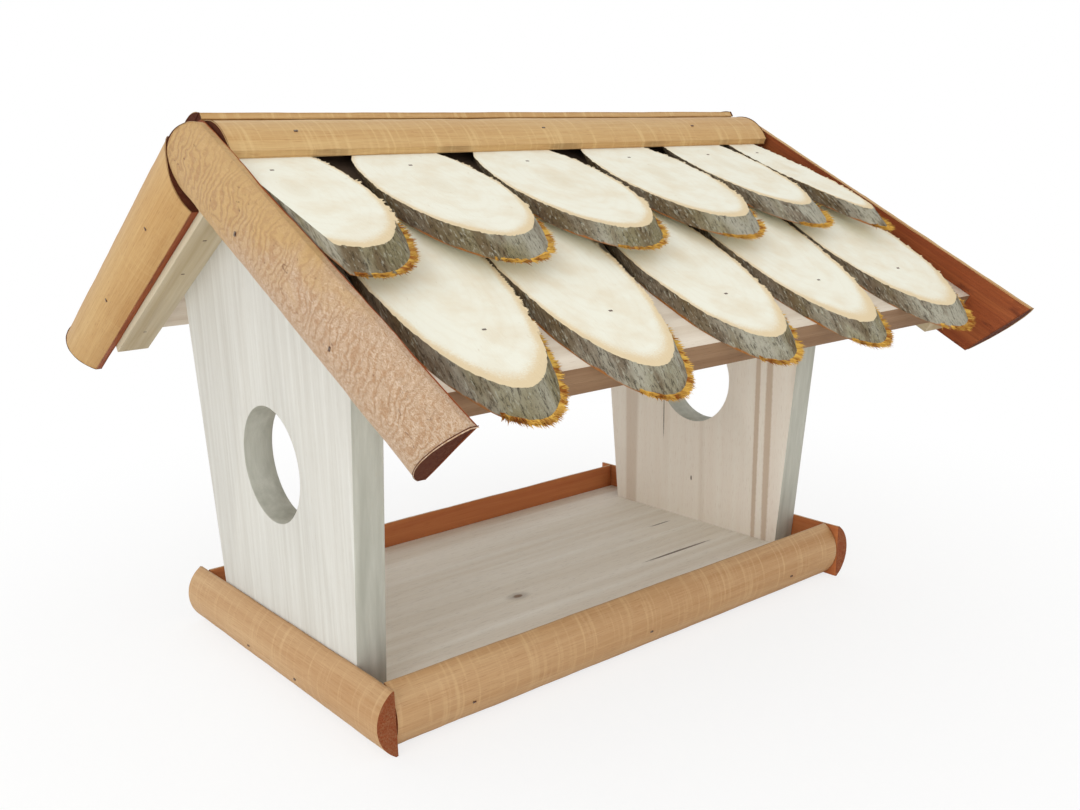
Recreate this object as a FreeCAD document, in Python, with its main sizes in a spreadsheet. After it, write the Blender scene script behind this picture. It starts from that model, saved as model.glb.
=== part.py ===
# Wooden bird feeder: a floor tray, two gable walls with a round hole, a pitched deck
# shingled with obliquely cut log slices, and half-round trim. Millimetres, +Z up.
# The origin is the middle of the underside, X runs along the ridge.
import FreeCAD, Part
import math
import os

import Sketcher
from FreeCAD import Placement, Rotation, Vector

doc = FreeCAD.newDocument("BirdFeeder")

# Driving dimensions
sizes = {
    # floor board and the raised rails round it
    "floor_length": 355, "floor_width": 204.8, "floor_thickness": 18.5,
    "rail_width": 36.2, "rail_thickness": 12, "rail_side": 2,
    # gable walls, wider at the eaves than at the foot
    "wall_thickness": 18, "wall_foot_width": 153.6, "wall_flare_angle": 5.05,
    "hole_diameter": 65, "hole_height": 126,
    # roof deck: ridge_height is where the undersides of both boards meet
    "ridge_height": 274.1, "roof_pitch": 28.85, "deck_length": 395, "deck_thickness": 15.3,
    "front_deck_reach": 196.5, "rear_deck_reach": 185.5,
    # battens under the deck, outside each wall
    "batten_thickness": 10, "batten_reach": 193.5,
    # half-round barge pieces on the deck's ends
    "barge_width": 42, "barge_thickness": 14, "barge_side": 4,
    "barge_past_ridge": 13, "barge_nose_radius": 15,
    "front_barge_drop": 13.5, "front_barge_overhang": 34.6, "front_barge_slant": 18.6,
    "rear_barge_drop": 6, "rear_barge_overhang": 70, "rear_barge_slant": 23,
    # half-round ridge pieces; the rear one leans on the front one's upper edge
    "ridge_rail_inset": 3.5, "ridge_rail_thickness": 11, "ridge_rail_side": 3.5,
    "front_ridge_rail_reach": 20.5, "rear_ridge_rail_reach": 22.5,
    # the two courses of log slices
    "slice_thickness": 7, "slice_gap": 0.05, "slice_side_gap": 0.5,
    "lower_course_overhang": 13, "lower_course_top": 70.5, "upper_course_top": 5.5, "course_step": 84,
    # Each slice, laid from the left end of its slope as seen from in front of it: the gap
    # before it, how much further its tip comes than its course, half the width and length of
    # its face, how far its bark leans out down the slope, and its turn in degrees.
    # Every slice was cut from its own branch, so all differ.
    "upper_1_gap": -21.5, "upper_1_reach": -1, "upper_1_half_width": 36, "upper_1_half_length": 66,
    "upper_1_lean": 15, "upper_1_turn": 0,
    "upper_2_gap": 5.5, "upper_2_reach": 0, "upper_2_half_width": 36.5, "upper_2_half_length": 62,
    "upper_2_lean": 14.5, "upper_2_turn": 1,
    "upper_3_gap": 3, "upper_3_reach": 3, "upper_3_half_width": 38, "upper_3_half_length": 64,
    "upper_3_lean": 11, "upper_3_turn": 2,
    "upper_4_gap": 4.5, "upper_4_reach": 1, "upper_4_half_width": 36, "upper_4_half_length": 63,
    "upper_4_lean": 12.5, "upper_4_turn": 2,
    "upper_5_gap": 3.5, "upper_5_reach": -7, "upper_5_half_width": 30, "upper_5_half_length": 65,
    "upper_5_lean": 17, "upper_5_turn": 3,
    "upper_6_gap": 1.5, "upper_6_reach": 6, "upper_6_half_width": 16.5, "upper_6_half_length": 69,
    "upper_6_lean": 15, "upper_6_turn": 2,
    "lower_1_gap": 11.5, "lower_1_reach": 0, "lower_1_half_width": 35, "lower_1_half_length": 86,
    "lower_1_lean": 15, "lower_1_turn": 4,
    "lower_2_gap": 2.5, "lower_2_reach": 2.5, "lower_2_half_width": 35.5, "lower_2_half_length": 86,
    "lower_2_lean": 14.5, "lower_2_turn": 4,
    "lower_3_gap": 9.5, "lower_3_reach": -2, "lower_3_half_width": 34.5, "lower_3_half_length": 72,
    "lower_3_lean": 12.5, "lower_3_turn": 1,
    "lower_4_gap": 5.5, "lower_4_reach": 0, "lower_4_half_width": 35.5, "lower_4_half_length": 86,
    "lower_4_lean": 12.5, "lower_4_turn": 2,
    "lower_5_gap": 2.5, "lower_5_reach": -1, "lower_5_half_width": 37, "lower_5_half_length": 70,
    "lower_5_lean": 14, "lower_5_turn": 0,
    # brads: flat wire with a small T head, shot in level with the surface
    "brad_width": 1.25, "brad_thickness": 1, "brad_head_width": 2, "brad_head_height": 1, "brad_clearance": 0.05,
    "slice_brad_length": 13, "upper_brad_reach": 36, "lower_brad_setback": 26.5,
    "ridge_brad_length": 30, "ridge_brad_height": 10,
    "ridge_brad_1_place": -158, "ridge_brad_2_place": 2, "ridge_brad_3_place": 128,
    "rail_brad_length": 34, "rail_brad_height": 13, "long_rail_brad_spacing": 130, "end_rail_brad_spacing": 57,
    "batten_brad_length": 20, "batten_brad_1_reach": 43, "batten_brad_2_reach": 83, "batten_brad_3_reach": 164,
    "barge_brad_length": 36, "barge_brad_1_reach": 60, "barge_brad_2_reach": 150,
    "deck_brad_length": 40, "deck_brad_1_reach": 40, "deck_brad_2_reach": 90,
    "wall_brad_length": 50, "wall_brad_spacing": 90,
}
slice_counts = {"upper": 6, "lower": 5}

sheet = doc.addObject("Spreadsheet::Sheet", "Sizes")
for row, (alias, value) in enumerate(sizes.items(), 1):
    sheet.set(f"A{row}", alias)
    sheet.set(f"B{row}", str(value))
    sheet.setAlias(f"B{row}", alias)
doc.recompute()


class Dim:
    """A number together with the formula that gives it from the sheet."""

    def __init__(self, number, formula=None):
        self.number = float(number)
        self.formula = formula or repr(float(number))

    def combine(self, other, sign, number):
        other = other if isinstance(other, Dim) else Dim(other)
        return Dim(number(self.number, other.number), f"({self.formula} {sign} {other.formula})")

    def __add__(self, other):
        return self.combine(other, "+", lambda a, b: a + b)

    def __sub__(self, other):
        return self.combine(other, "-", lambda a, b: a - b)

    def __mul__(self, other):
        return self.combine(other, "*", lambda a, b: a * b)

    def __truediv__(self, other):
        return self.combine(other, "/", lambda a, b: a / b)

    def __neg__(self):
        return Dim(0, "0") - self


def size(alias):
    return Dim(sheet.get(alias), f"Sizes.{alias}")


def angle_function(name, angle):
    value = getattr(math, name)(math.radians(angle.number))
    return Dim(value, f"{name}({angle.formula} * 1 deg)")


def smaller(a, b):
    return Dim(min(a.number, b.number), f"min({a.formula}; {b.formula})")


pitch_sin = angle_function("sin", size("roof_pitch"))
pitch_cos = angle_function("cos", size("roof_pitch"))
pitch_tan = angle_function("tan", size("roof_pitch"))
half_deck = size("deck_length") / 2
half_floor = size("floor_length") / 2
wall_middle = half_floor - size("wall_thickness") / 2
batten_middle = (half_floor + half_deck) / 2
quarter_turn = Dim(90)


# Sketch and body helpers
def new_body(label, placement):
    body = doc.addObject("PartDesign::Body", label)
    body.Label = label
    body.Placement = placement
    return body


def new_sketch(body, name, role, lift=0.0):
    plane = [item for item in body.Origin.OriginFeatures if item.Role == role][0]
    sketch = body.newObject("Sketcher::SketchObject", name)
    sketch.AttachmentSupport = [(plane, "")]
    sketch.MapMode = "FlatFace"
    sketch.AttachmentOffset = Placement(Vector(0, 0, lift), Rotation())
    return sketch


def bind(sketch, kind, where, dim):
    index = sketch.addConstraint(Sketcher.Constraint(kind, *where, dim.number))
    sketch.setExpression(f"Constraints[{index}]", dim.formula)


def pin_point(sketch, geometry, point, x, y):
    for kind, dim, axis in (("DistanceX", x, -2), ("DistanceY", y, -1)):
        if abs(dim.number) < 1e-9:
            sketch.addConstraint(Sketcher.Constraint("PointOnObject", geometry, point, axis))
        else:
            bind(sketch, kind, (-1, 1, geometry, point), dim)


def draw_outline(sketch, corners, arcs=None):
    """Closed outline through corners; arcs maps a side's number to (middle point, radius)."""
    arcs = arcs or {}
    flat = [Vector(x.number, y.number, 0) for x, y in corners]
    first = sketch.GeometryCount
    for side, start in enumerate(flat):
        end = flat[(side + 1) % len(flat)]
        if side in arcs:
            x, y = arcs[side][0]
            middle = Vector(x.number, y.number, 0)
            counterclockwise = (middle - start).cross(end - middle).z > 0
            ends = (start, end) if counterclockwise else (end, start)
            sketch.addGeometry(Part.Arc(ends[0], middle, ends[1]))
        else:
            sketch.addGeometry(Part.LineSegment(start, end))
    starts = []
    for side, start in enumerate(flat):
        edge = sketch.Geometry[first + side]
        starts.append(1 if edge.StartPoint.distanceToPoint(start) < 1e-6 else 2)
    for side in range(len(flat)):
        before = (side - 1) % len(flat)
        join = (first + before, 3 - starts[before], first + side, starts[side])
        sketch.addConstraint(Sketcher.Constraint("Coincident", *join))
        pin_point(sketch, first + side, starts[side], *corners[side])
        if side in arcs:
            bind(sketch, "Radius", (first + side,), arcs[side][1])


def pad(body, sketch, length, midplane=False, reverse=False, direction=None):
    feature = body.newObject("PartDesign::Pad", f"{body.Label}_pad")
    feature.Profile = sketch
    feature.setExpression("Length", length.formula)
    feature.Midplane = midplane
    feature.Reversed = reverse
    if direction:
        feature.UseCustomVector = True
        feature.Direction = direction
        feature.AlongSketchNormal = True
    return feature


def pocket_both_ways(body, sketch, depth, direction=None):
    doc.recompute()
    before = body.Tip.Shape.Volume
    feature = body.newObject("PartDesign::Pocket", f"{sketch.Label}_cut")
    feature.Profile = sketch
    feature.setExpression("Length", depth.formula)
    feature.Midplane = True
    if direction:
        feature.UseCustomVector = True
        feature.Direction = direction
        feature.AlongSketchNormal = True
    doc.recompute()
    if not feature.Shape.Volume < before:
        raise RuntimeError(f"{feature.Name} cuts nothing")


def half_round_corners(x_flat, outward, low, width, thickness, side):
    """Section of a half-round strip: flat back at x_flat, short sides, one arc."""
    x_side = x_flat + side * outward
    corners = [(x_flat, low), (x_side, low), (x_side, low + width), (x_flat, low + width)]
    rise = thickness - side
    radius = (width * width / 4 + rise * rise) / (rise * 2)
    middle = (x_flat + thickness * outward, low + width / 2)
    return corners, {1: (middle, radius)}


# Roof frames: local X along the ridge, local Y up the slope, local Z out of the roof
def slope_frame(side):
    turn = Rotation(Vector(0, 0, 1), 0 if side == "front" else 180)
    lean = Rotation(Vector(1, 0, 0), size("roof_pitch").number)
    return Placement(Vector(0, 0, size("ridge_height").number), turn.multiply(lean))


def upper_course_heel():
    """Where the upper slices' undersides meet the deck, measured down the slope."""
    leans = [size(f"upper_{number}_lean").number for number in range(1, slice_counts["upper"] + 1)]
    return size("upper_course_top").number + min(leans)


def upper_course_tilt():
    """Upper slices lie on the deck at the ridge and on the lower slices' top ends."""
    rise = size("slice_thickness").number + size("slice_gap").number
    run = size("lower_course_top").number - upper_course_heel()
    return math.degrees(math.atan2(rise, run))


def slice_frame(side, course):
    """The slope's frame moved up to the top faces of a course."""
    heel = upper_course_heel() if course == "upper" else 0
    tilt = Rotation(Vector(1, 0, 0), -upper_course_tilt() if course == "upper" else 0)
    bed = size("deck_thickness").number + size("slice_gap").number
    frame = slope_frame(side).multiply(Placement(Vector(0, -heel, bed), tilt))
    return frame.multiply(Placement(Vector(0, heel, size("slice_thickness").number), Rotation()))


# Tray
def make_floor():
    body = new_body("floor_board", Placement())
    sketch = new_sketch(body, "floor_outline", "XY_Plane")
    x = half_floor
    y = size("floor_width") / 2
    draw_outline(sketch, [(-x, -y), (x, -y), (x, y), (-x, y)])
    pad(body, sketch, size("floor_thickness"))
    return body


def make_long_rail(side):
    body = new_body(f"{side}_tray_rail", Placement())
    sketch = new_sketch(body, f"{side}_rail_section", "YZ_Plane")
    outward = -1 if side == "front" else 1
    y = size("floor_width") / 2 * outward
    section = half_round_corners(y, outward, Dim(0), size("rail_width"), size("rail_thickness"), size("rail_side"))
    draw_outline(sketch, *section)
    pad(body, sketch, size("floor_length"), midplane=True)
    return body


def make_end_rail(side):
    body = new_body(f"{side}_tray_rail", Placement())
    sketch = new_sketch(body, f"{side}_rail_section", "XZ_Plane")
    outward = -1 if side == "left" else 1
    section = half_round_corners(
        half_floor * outward, outward, Dim(0), size("rail_width"), size("rail_thickness"), size("rail_side"))
    draw_outline(sketch, *section)
    pad(body, sketch, size("floor_width") + size("rail_thickness") * 2, midplane=True)
    return body


# Gable walls
def make_wall(side):
    body = new_body(f"{side}_gable_wall", Placement())
    inner = half_floor.number - size("wall_thickness").number
    sketch = new_sketch(body, f"{side}_wall_outline", "YZ_Plane", inner if side == "right" else -half_floor.number)
    flare = angle_function("tan", size("wall_flare_angle"))
    foot = size("wall_foot_width") / 2
    base = size("floor_thickness")
    apex = size("ridge_height")
    eave_y = (foot + flare * (apex - base)) / (flare * pitch_tan + 1)
    eave_z = apex - eave_y * pitch_tan
    corners = [(-foot, base), (foot, base), (eave_y, eave_z), (Dim(0), apex), (-eave_y, eave_z)]
    draw_outline(sketch, corners)
    hole = sketch.addGeometry(Part.Circle(Vector(0, size("hole_height").number, 0), Vector(0, 0, 1),
                                          size("hole_diameter").number / 2))
    pin_point(sketch, hole, 3, Dim(0), size("hole_height"))
    bind(sketch, "Radius", (hole,), size("hole_diameter") / 2)
    pad(body, sketch, size("wall_thickness"))
    return body


# Roof deck and battens
def make_deck(side):
    body = new_body(f"{side}_roof_board", slope_frame(side))
    sketch = new_sketch(body, f"{side}_deck_section", "YZ_Plane")
    reach = size(f"{side}_deck_reach")
    top = size("deck_thickness")
    draw_outline(sketch, [(Dim(0), Dim(0)), (-reach, Dim(0)), (-reach, top), (top * pitch_tan, top)])
    pad(body, sketch, size("deck_length"), midplane=True)
    return body


def make_batten(side, end):
    """Strip under the deck, from the wall's face to the deck's end, mitred at the ridge."""
    body = new_body(f"{side}_{end}_batten", slope_frame(side))
    towards = 1 if (end == "right") == (side == "front") else -1
    inner = half_floor.number if towards > 0 else -half_deck.number
    sketch = new_sketch(body, f"{side}_{end}_batten_section", "YZ_Plane", inner)
    low = -size("batten_thickness")
    foot = -size("batten_reach")
    draw_outline(sketch, [(Dim(0), Dim(0)), (foot, Dim(0)), (foot, low), (low * pitch_tan, low)])
    pad(body, sketch, half_deck - half_floor)
    return body


# Barge pieces
def make_barge(side, end):
    body = new_body(f"{side}_{end}_barge", slope_frame(side))
    towards = 1 if (end == "right") == (side == "front") else -1
    width = size("barge_width")
    low = -size(f"{side}_barge_drop")
    high = low + width
    tip = -(size(f"{side}_deck_reach") + size(f"{side}_barge_overhang"))
    past = size("barge_past_ridge") * (1 if side == "front" else -1)
    nose_top = (past + high * pitch_sin) / pitch_cos
    start = nose_top if side == "front" else nose_top + 1
    section = new_sketch(body, f"{side}_{end}_barge_section", "XZ_Plane", -start.number)
    draw_outline(section, *half_round_corners(
        half_deck * towards, towards, low, width, size("barge_thickness"), size("barge_side")))
    pad(body, section, start - tip)
    # lower end, sawn at a slant
    margin = 5
    slant = size(f"{side}_barge_slant")
    foot_cut = new_sketch(body, f"{side}_{end}_barge_foot", "YZ_Plane", towards * half_deck.number)
    draw_outline(foot_cut, [(tip, high), (tip + slant, low), (tip + slant, low - margin),
                            (tip - margin, low - margin), (tip - margin, high)])
    pocket_both_ways(body, foot_cut, size("barge_thickness") * 3)
    # upper end, sawn upright; the front pieces have a rounded nose and cover the rear ones
    nose_cut = new_sketch(body, f"{side}_{end}_barge_nose", "YZ_Plane", towards * half_deck.number)
    below = low - margin
    above = high + margin
    far = nose_top + margin * 3
    heel = ((past + below * pitch_sin) / pitch_cos, below)
    if side == "rear":
        peak = ((past + above * pitch_sin) / pitch_cos, above)
        draw_outline(nose_cut, [heel, peak, (far, above), (far, below)])
    else:
        radius = size("barge_nose_radius")
        half_angle = (quarter_turn - size("roof_pitch")) / 2
        tangent = radius * angle_function("cos", half_angle) / angle_function("sin", half_angle)
        arc_low = (nose_top - tangent * pitch_sin, high - tangent * pitch_cos)
        arc_high = (nose_top - tangent, high)
        middle = (arc_high[0] + radius * angle_function("cos", half_angle),
                  high - radius + radius * angle_function("sin", half_angle))
        corners = [heel, arc_low, arc_high, (arc_high[0], above), (far, above), (far, below)]
        draw_outline(nose_cut, corners, {1: (middle, radius)})
    pocket_both_ways(body, nose_cut, size("barge_thickness") * 3)
    return body


# Ridge pieces
def front_ridge_frame():
    lift = Placement(Vector(0, -size("front_ridge_rail_reach").number, size("slice_gap").number), Rotation())
    return slice_frame("front", "upper").multiply(lift)


def rear_ridge_frame():
    """Its lower edge lies on the rear slices, its back against the front rail's upper edge."""
    gap = size("slice_gap").number
    on_slices = Vector(0, -size("rear_ridge_rail_reach").number, gap)
    foot = slice_frame("rear", "upper").multVec(on_slices)
    edge = Vector(0, size("rail_width").number + gap, size("ridge_rail_side").number + gap)
    corner = front_ridge_frame().multVec(edge)
    pitch = math.degrees(math.atan2(corner.z - foot.z, foot.y - corner.y))
    turn = Rotation(Vector(0, 0, 1), 180)
    return Placement(foot, turn.multiply(Rotation(Vector(1, 0, 0), pitch)))


def make_ridge_rail(side):
    body = new_body(f"{side}_ridge_rail", front_ridge_frame() if side == "front" else rear_ridge_frame())
    sketch = new_sketch(body, f"{side}_ridge_section", "YZ_Plane")
    width = size("rail_width")
    edge = size("ridge_rail_side")
    top = size("ridge_rail_thickness")
    rise = top - edge
    radius = (width * width / 4 + rise * rise) / (rise * 2)
    corners = [(Dim(0), Dim(0)), (Dim(0), edge), (width, edge), (width, Dim(0))]
    draw_outline(sketch, corners, {1: ((width / 2, top), radius)})
    pad(body, sketch, size("deck_length") - size("ridge_rail_inset") * 2, midplane=True)
    return body


# Log slices
def slice_middle(course, number):
    """Distance of a slice's middle from the roof's middle, to the right as seen from in
    front of its own slope."""
    edge = -half_deck
    for before in range(1, number):
        edge = edge + size(f"{course}_{before}_gap") + size(f"{course}_{before}_half_width") * 2
    return edge + size(f"{course}_{number}_gap") + size(f"{course}_{number}_half_width")


def make_slice(side, course, number):
    """A branch cut at a slant: an oval face, from which the bark runs down and outwards
    to a second oval further down the slope. The hidden upper end is sawn off."""
    key = f"{course}_{number}"
    label = f"{side}_{course}_slice_{number}"
    body = new_body(label, slice_frame(side, course))
    across = slice_middle(course, number)
    long_half = size(f"{key}_half_length")
    wide_half = size(f"{key}_half_width")
    turn = size(f"{key}_turn")
    tip = size(f"{side}_deck_reach") + size("lower_course_overhang") + size(f"{key}_reach")
    if course == "upper":
        tip = tip - size("course_step")
    middle = -(tip - long_half)
    tail = smaller(-middle - size(f"{course}_course_top"), long_half * 0.97)
    lean = Vector(0, -size(f"{key}_lean").number, -size("slice_thickness").number)
    centre = Vector(across.number, middle.number, 0)
    heading = math.radians(90 - turn.number)
    along = Vector(math.cos(heading), math.sin(heading), 0)
    sideways = Vector(-along.y, along.x, 0)
    sketch = new_sketch(body, f"{label}_face", "XY_Plane")
    oval = Part.Ellipse(centre + along * long_half.number, centre + sideways * wide_half.number, centre)
    sketch.addGeometry(oval)
    sketch.exposeInternalGeometry(0)
    bind(sketch, "DistanceX", (-1, 1, 0, 3), across)
    bind(sketch, "DistanceY", (-1, 1, 0, 3), middle)
    bind(sketch, "Distance", (1,), long_half * 2)
    bind(sketch, "Distance", (2,), wide_half * 2)
    sketch.addConstraint(Sketcher.Constraint("Angle", 1, heading))
    pad(body, sketch, size("slice_thickness"), direction=lean)
    # hidden upper end, sawn across
    cut = new_sketch(body, f"{label}_upper_end", "XY_Plane")
    side_room = wide_half * 2
    low = middle + tail
    draw_outline(cut, [(across - side_room, low), (across + side_room, low),
                       (across + side_room, low + long_half), (across - side_room, low + long_half)])
    pocket_both_ways(body, cut, size("slice_thickness") * 4, lean)
    if abs(across.number) + wide_half.number > half_deck.number:
        trim_at_barge(body, label, 1 if across.number > 0 else -1)
    return body


def trim_at_barge(body, label, towards):
    sketch = new_sketch(body, f"{label}_trim", "XY_Plane")
    inner = (half_deck - size("slice_side_gap")) * towards
    outer = inner + size("barge_width") * towards
    reach = size("front_deck_reach") * 2
    draw_outline(sketch, [(inner, -reach), (inner, reach), (outer, reach), (outer, -reach)])
    pocket_both_ways(body, sketch, size("slice_thickness") * 4)


# Fasteners
def make_brads(label, placement, level, places, length, room=None):
    """Brads with their heads level with a surface; with room round them, the holes for them."""
    body = new_body(label, placement)
    body.AllowCompound = True
    gap = room or Dim(0)
    above = size("brad_head_height") if room else Dim(0)
    for part, width, depth in (("shanks", "brad_width", length), ("heads", "brad_head_width", size("brad_head_height"))):
        sketch = new_sketch(body, f"{label}_{part}", "XY_Plane", level + above.number)
        across = size(width) / 2 + gap
        along = size("brad_thickness") / 2 + gap
        for x, y in places:
            draw_outline(sketch, [(x - across, y - along), (x + across, y - along),
                                  (x + across, y + along), (x - across, y + along)])
        pad(body, sketch, depth + gap + above, reverse=True)
    return body


def half_round_level(width, thickness, side, place):
    """Height of a half-round strip's surface at a place across its width."""
    rise = (thickness - side).number
    radius = (width.number ** 2 / 4 + rise ** 2) / (rise * 2)
    return thickness.number - radius + math.sqrt(radius ** 2 - (place - width / 2).number ** 2)


def drill(holes):
    """Cuts the holes in every wooden piece that they meet."""
    doc.recompute()
    for name, blank in list(wood.items()):
        box = blank.Shape.BoundBox
        near = [hole for hole in holes.Shape.Solids if hole.BoundBox.intersect(box)]
        if not any(blank.Shape.common(hole).Volume > 0.1 for hole in near):
            continue
        drilled = doc.addObject("Part::Cut", f"{name}_drilled")
        drilled.Base = blank
        drilled.Tool = holes
        blank.Label = f"{name}_blank"
        drilled.Label = name
        wood[name] = drilled
    doc.recompute()


def nail(group, label, placement, level, places, length):
    """Adds brads to a group and drills their holes."""
    drill(make_brads(f"{label}_holes", placement, level, places, length, size("brad_clearance")))
    groups.setdefault(group, []).append(make_brads(label, placement, level, places, length))


def nail_slices(side, course):
    if course == "upper":
        y = -size("upper_brad_reach")
    else:
        y = size("lower_brad_setback") - size(f"{side}_deck_reach")
    places = [(slice_middle(course, number), y) for number in range(1, slice_counts[course] + 1)]
    nail("slice_brads", f"{side}_{course}_brads", slice_frame(side, course), 0.0, places, size("slice_brad_length"))


def nail_ridge(side):
    height = size("ridge_brad_height")
    level = half_round_level(size("rail_width"), size("ridge_rail_thickness"), size("ridge_rail_side"), height)
    places = [(size(f"ridge_brad_{number}_place"), height) for number in (1, 2, 3)]
    placement = front_ridge_frame() if side == "front" else rear_ridge_frame()
    nail("ridge_rail_brads", f"{side}_ridge_brads", placement, level, places, size("ridge_brad_length"))


def nail_tray_rail(side, turn, out_y, out_x):
    """Through a rail into the floor board's edge; the frame's Z points out of the rail."""
    base = Vector(half_floor.number * out_x, size("floor_width").number / 2 * out_y, 0)
    upright = Rotation(Vector(0, 0, 1), turn).multiply(Rotation(Vector(1, 0, 0), 90))
    height = size("rail_brad_height")
    level = half_round_level(size("rail_width"), size("rail_thickness"), size("rail_side"), height)
    if out_x:
        places = [(-size("end_rail_brad_spacing") / 2, height), (size("end_rail_brad_spacing") / 2, height)]
    else:
        spacing = size("long_rail_brad_spacing")
        places = [(-spacing, height), (Dim(0), height), (spacing, height)]
    nail("tray_rail_brads", f"{side}_rail_brads", Placement(base, upright), level, places, size("rail_brad_length"))


def nail_battens(side):
    """From below, through both battens into the deck."""
    upside_down = Placement(Vector(0, 0, -size("batten_thickness").number), Rotation(Vector(1, 0, 0), 180))
    reaches = [size(f"batten_brad_{number}_reach") for number in (1, 2, 3)]
    places = [(x, reach) for x in (-batten_middle, batten_middle) for reach in reaches]
    nail("batten_brads", f"{side}_batten_brads", slope_frame(side).multiply(upside_down), 0.0, places,
         size("batten_brad_length"))


def nail_barge(side, end):
    """Through a barge piece into the middle of the deck's end."""
    towards = 1 if (end == "right") == (side == "front") else -1
    sideways = Placement(Vector(half_deck.number * towards, 0, 0), Rotation(Vector(0, 1, 0), 90 * towards))
    height = size("deck_thickness") / 2
    level = half_round_level(size("barge_width"), size("barge_thickness"), size("barge_side"),
                             height + size(f"{side}_barge_drop"))
    places = [(height * -towards, -size(f"barge_brad_{number}_reach")) for number in (1, 2)]
    nail("barge_brads", f"{side}_{end}_barge_brads", slope_frame(side).multiply(sideways), level, places,
         size("barge_brad_length"))


def nail_walls():
    """From below, through the floor into both walls."""
    upside_down = Placement(Vector(), Rotation(Vector(1, 0, 0), 180))
    half = size("wall_brad_spacing") / 2
    places = [(x, y) for x in (-wall_middle, wall_middle) for y in (-half, half)]
    nail("wall_brads", "floor_brads", upside_down, 0.0, places, size("wall_brad_length"))


def nail_deck(side):
    """Through a roof board into the tops of both walls."""
    reaches = [size("deck_brad_1_reach"), size("deck_brad_2_reach")]
    places = [(x, -reach) for x in (-wall_middle, wall_middle) for reach in reaches]
    nail("roof_board_brads", f"{side}_roof_brads", slope_frame(side), size("deck_thickness").number, places,
         size("deck_brad_length"))


pieces = [make_floor()]
pieces += [make_long_rail(side) for side in ("front", "rear")]
pieces += [make_end_rail(side) for side in ("left", "right")]
pieces += [make_wall(side) for side in ("left", "right")]
for side in ("front", "rear"):
    pieces.append(make_deck(side))
    for end in ("left", "right"):
        pieces.append(make_batten(side, end))
        pieces.append(make_barge(side, end))
    pieces.append(make_ridge_rail(side))
    for course, count in slice_counts.items():
        for number in range(1, count + 1):
            pieces.append(make_slice(side, course, number))
wood = {body.Label: body for body in pieces}
groups = {}
nail_walls()
for side, turn, out_y, out_x in (("front", 0, -1, 0), ("rear", 180, 1, 0), ("left", -90, 0, -1), ("right", 90, 0, 1)):
    nail_tray_rail(side, turn, out_y, out_x)
for side in ("front", "rear"):
    nail_deck(side)
    nail_battens(side)
    for course in slice_counts:
        nail_slices(side, course)
    nail_ridge(side)
    for end in ("left", "right"):
        nail_barge(side, end)
for name, bodies in groups.items():
    group = doc.addObject("Part::Compound", name)
    group.Links = bodies
    wood[name] = group
doc.recompute()


def check(item):
    if {"Invalid", "Error"} & set(item.State):
        raise RuntimeError(f"{item.Label} failed: {item.State}")


for item in doc.Objects:
    check(item)
for item in wood.values():
    if item.Shape.isNull() or not item.Shape.isValid():
        raise RuntimeError(f"{item.Label} has no valid shape")

os.makedirs("parts", exist_ok=True)
for name, item in wood.items():
    item.Shape.exportStep(f"parts/{name}.step")
    box = item.Shape.BoundBox
    print(f"{name}: {len(item.Shape.Solids)} solid, {item.Shape.Volume:.0f} mm3, X {box.XMin:.1f} {box.XMax:.1f}, "
          f"Y {box.YMin:.1f} {box.YMax:.1f}, Z {box.ZMin:.1f} {box.ZMax:.1f}")
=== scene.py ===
import bpy
import bmesh
import math
import random
from mathutils import Matrix, Vector


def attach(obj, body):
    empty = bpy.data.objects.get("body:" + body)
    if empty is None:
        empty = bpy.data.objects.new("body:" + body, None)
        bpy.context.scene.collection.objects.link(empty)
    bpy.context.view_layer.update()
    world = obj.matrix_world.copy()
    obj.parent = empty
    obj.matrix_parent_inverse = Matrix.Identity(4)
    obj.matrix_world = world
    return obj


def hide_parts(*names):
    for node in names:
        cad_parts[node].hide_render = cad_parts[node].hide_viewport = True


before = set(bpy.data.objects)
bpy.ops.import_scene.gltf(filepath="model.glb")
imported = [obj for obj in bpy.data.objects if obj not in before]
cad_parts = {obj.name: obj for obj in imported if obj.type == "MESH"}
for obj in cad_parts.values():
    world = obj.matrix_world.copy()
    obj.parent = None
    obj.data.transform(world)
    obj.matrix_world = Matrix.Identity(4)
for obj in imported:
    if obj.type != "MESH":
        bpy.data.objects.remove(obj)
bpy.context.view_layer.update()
print("frame loaded")

# small tools

touching = 1e-6  # points this near, in metres, lie in the same plane
close = 1e-5  # points this near are the same point


def tone(red, green, blue):
    # colour as picked on screen, 0 to 255, turned into the linear values that nodes use
    values = []
    for channel in (red, green, blue):
        share = channel / 255
        values.append(share / 12.92 if share <= 0.04045 else ((share + 0.055) / 1.055) ** 2.4)
    return (*values, 1.0)


def only(obj):
    bpy.ops.object.select_all(action="DESELECT")
    obj.select_set(True)
    bpy.context.view_layer.objects.active = obj


def editing(obj):
    only(obj)
    bpy.ops.object.mode_set(mode="EDIT")


def done():
    bpy.ops.object.mode_set(mode="OBJECT")


def pick(kind, test):
    # selects verts, edges or faces of the mesh in edit mode by a test on each
    bpy.ops.mesh.select_mode(type={"verts": "VERT", "edges": "EDGE", "faces": "FACE"}[kind])
    bpy.ops.mesh.select_all(action="DESELECT")
    mesh = bpy.context.edit_object.data
    build = bmesh.from_edit_mesh(mesh)
    for item in getattr(build, kind):
        if test(item):
            item.select_set(True)
    build.select_flush_mode()
    bmesh.update_edit_mesh(mesh)


def pickAll():
    bpy.ops.mesh.select_mode(type="VERT")
    bpy.ops.mesh.select_all(action="SELECT")


def faceOut():
    pickAll()
    bpy.ops.mesh.normals_make_consistent(inside=False)


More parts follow.
